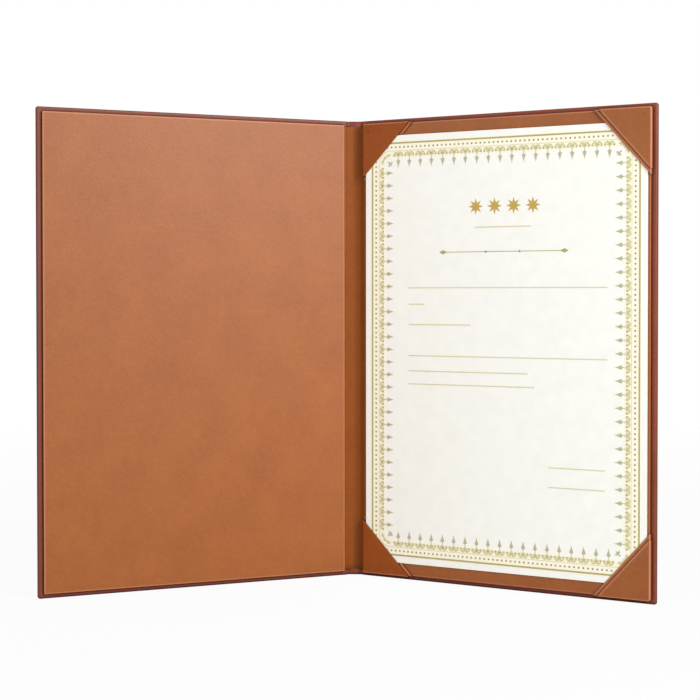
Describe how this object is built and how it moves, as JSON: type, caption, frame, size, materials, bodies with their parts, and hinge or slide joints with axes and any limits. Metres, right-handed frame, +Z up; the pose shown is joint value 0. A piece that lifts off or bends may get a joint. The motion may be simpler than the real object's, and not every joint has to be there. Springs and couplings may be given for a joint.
{
  "type": "diploma cover",
  "caption": "Open upright diploma cover: two leather-wrapped boards hinged to a narrow spine, suede-lined panels inside, and a bordered certificate held by corner pockets.",
  "frame": {"origin": "on the ground, at the middle of the standing cover's width and depth", "axes": "+Z up along the spine, +X along the width towards the back cover, which holds the certificate; the cover opens towards -Y"},
  "size_m": [0.4014, 0.108, 0.32],
  "materials": {
    "leather": "reddish-brown fine-grained synthetic leather, low gloss",
    "lining": "lighter brown suede-like lining, matt nap",
    "greyboard": "bare grey board",
    "sheet": "cream card, matt",
    "gold_print": "dull gold printing ink"
  },
  "bodies": {
    "back_cover": {"back_leather": "leather", "back_board": "greyboard", "back_panel_lining": "lining", "back_panel_board": "greyboard", "back_gutter_lining": "lining", "certificate": "sheet", "certificate_frame_line": "gold_print", "certificate_border_band": "gold_print", "certificate_divider": "gold_print", "pocket_top_gutter": "lining", "pocket_top_fore": "lining", "pocket_bottom_gutter": "lining", "pocket_bottom_fore": "lining"},
    "spine": {"spine_leather": "leather", "spine_card": "greyboard", "spine_gutter_lining": "lining"},
    "front_cover": {"front_leather": "leather", "front_board": "greyboard", "front_panel_lining": "lining", "front_panel_board": "greyboard", "front_gutter_lining": "lining"}
  },
  "joints": [
    {"name": "back_hinge", "type": "hinge", "parent": "back_cover", "child": "spine", "pos_m": [0.00525, 0.05301, 0], "axis": [0, 0, 1], "range_deg": [-28, 62]},
    {"name": "front_hinge", "type": "hinge", "parent": "spine", "child": "front_cover", "pos_m": [-0.00525, 0.05301, 0], "axis": [0, 0, 1], "range_deg": [-28, 62]}
  ]
}
